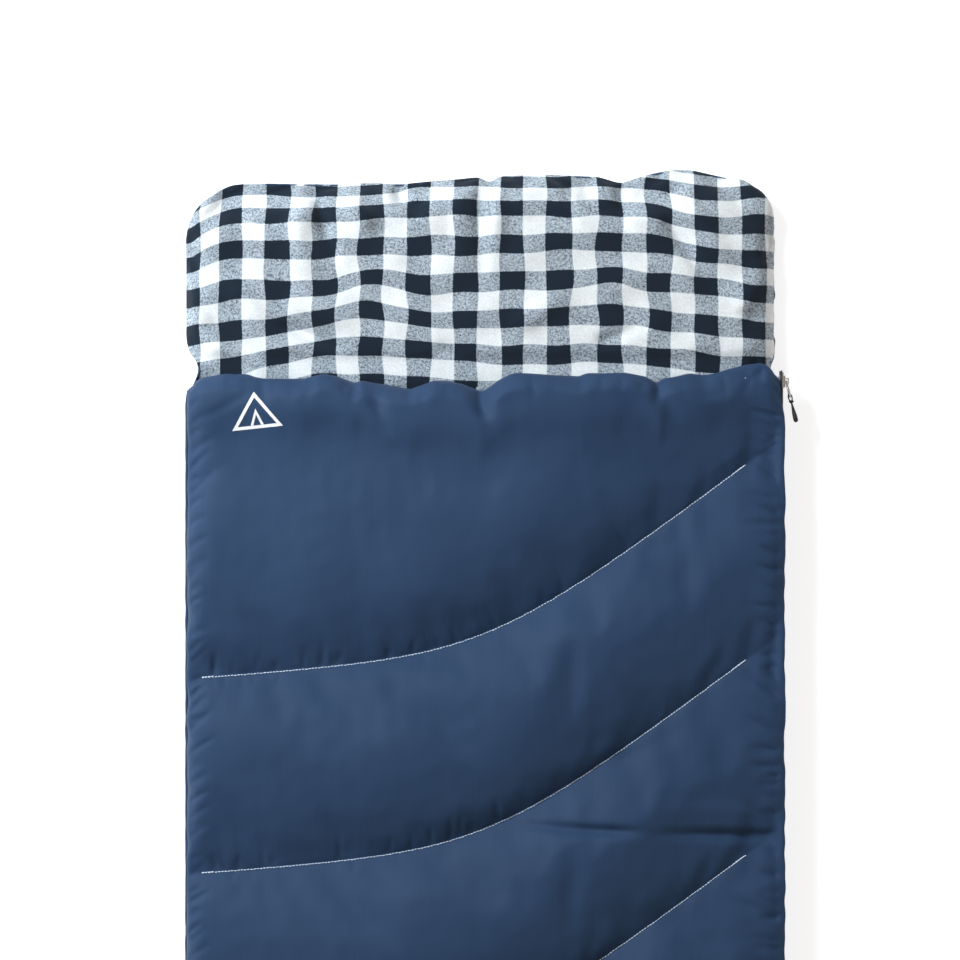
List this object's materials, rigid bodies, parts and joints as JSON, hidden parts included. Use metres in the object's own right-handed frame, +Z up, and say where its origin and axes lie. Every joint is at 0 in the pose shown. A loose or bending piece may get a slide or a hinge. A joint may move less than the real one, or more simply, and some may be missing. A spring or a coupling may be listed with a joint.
{
  "type": "rectangular sleeping bag",
  "caption": "Closed rectangular sleeping bag lying flat, with curved quilting, a checked liner, a padded head section that folds up and an L-shaped two-way zip.",
  "frame": {"origin": "middle of the underside, on the surface that the bag lies on", "axes": "+Y towards the head, +Z up, +X towards the side that the zip runs down"},
  "size_m": [0.8166, 2.2171, 0.094],
  "materials": {
    "shell": "smooth navy polyester with a soft sheen",
    "liner": "brushed flannel, navy, heather grey and white gingham check",
    "wadding": "hollow-fibre wadding",
    "tape": "woven tape",
    "coil": "moulded nylon",
    "metal": "nickel plated, satin",
    "plastic": "moulded, satin black",
    "cord": "braided black cord",
    "thread": "white sewing thread",
    "label": "blank woven label"
  },
  "bodies": {
    "back": {"back_shell": "shell", "back_wadding": "wadding", "back_liner": "liner", "zip_tape_back": "tape", "zip_coil_back": "coil", "zip_top_stop_back": "metal", "zip_retainer_box": "metal", "left_seam_piping": "shell", "care_label": "label"},
    "head": {"head_shell": "shell", "head_wadding": "wadding", "head_liner": "liner"},
    "front": {"front_shell": "shell", "front_wadding": "wadding", "front_liner": "liner", "draught_tube": "liner", "zip_tape_front": "tape", "zip_coil_front": "coil", "zip_top_stop_front": "metal", "zip_insertion_pin": "metal", "quilting_thread_1": "thread", "quilting_thread_2": "thread", "quilting_thread_3": "thread", "quilting_thread_4": "thread", "quilting_thread_5": "thread", "quilting_thread_6": "thread", "quilting_thread_7": "thread"},
    "top_slider_body": {"top_slider": "metal"},
    "top_tab_body": {"top_pull_tab": "metal"},
    "top_grip_body": {"top_pull_cord": "cord", "top_pull_grip": "plastic"},
    "foot_slider_body": {"foot_slider": "metal"},
    "foot_tab_body": {"foot_pull_tab": "metal"},
    "foot_grip_body": {"foot_pull_cord": "cord", "foot_pull_grip": "plastic"}
  },
  "joints": [
    {"name": "front_opening", "type": "hinge", "parent": "back", "child": "front", "pos_m": [-0.395, 0, 0.048], "axis": [0, -1, 0], "range_deg": [0, 180]},
    {"name": "head_fold", "type": "hinge", "parent": "back", "child": "head", "pos_m": [0, 0.846, 0.042], "axis": [1, 0, 0], "range_deg": [0, 90]},
    {"name": "top_zip_slide", "type": "slide", "parent": "back", "child": "top_slider_body", "axis": [0, -1, 0], "range_m": [0, 1.84]},
    {"name": "top_tab_swing", "type": "hinge", "parent": "top_slider_body", "child": "top_tab_body", "pos_m": [0.4025, 0.82, 0.048], "axis": [0, 0, 1], "range_deg": [-8, 140]},
    {"name": "top_grip_swing", "type": "hinge", "parent": "top_tab_body", "child": "top_grip_body", "pos_m": [0.40685, 0.80253, 0.048], "axis": [0, 0, 1], "range_deg": [-4, 35]},
    {"name": "foot_zip_slide", "type": "slide", "parent": "back", "child": "foot_slider_body", "axis": [1, 0, 0], "range_m": [0, 0.655]},
    {"name": "foot_tab_swing", "type": "hinge", "parent": "foot_slider_body", "child": "foot_tab_body", "pos_m": [-0.3345, -1.1025, 0.048], "axis": [0, 0, -1], "range_deg": [-8, 140]},
    {"name": "foot_grip_swing", "type": "hinge", "parent": "foot_tab_body", "child": "foot_grip_body", "pos_m": [-0.31703, -1.10685, 0.048], "axis": [0, 0, -1], "range_deg": [-4, 35]}
  ]
}
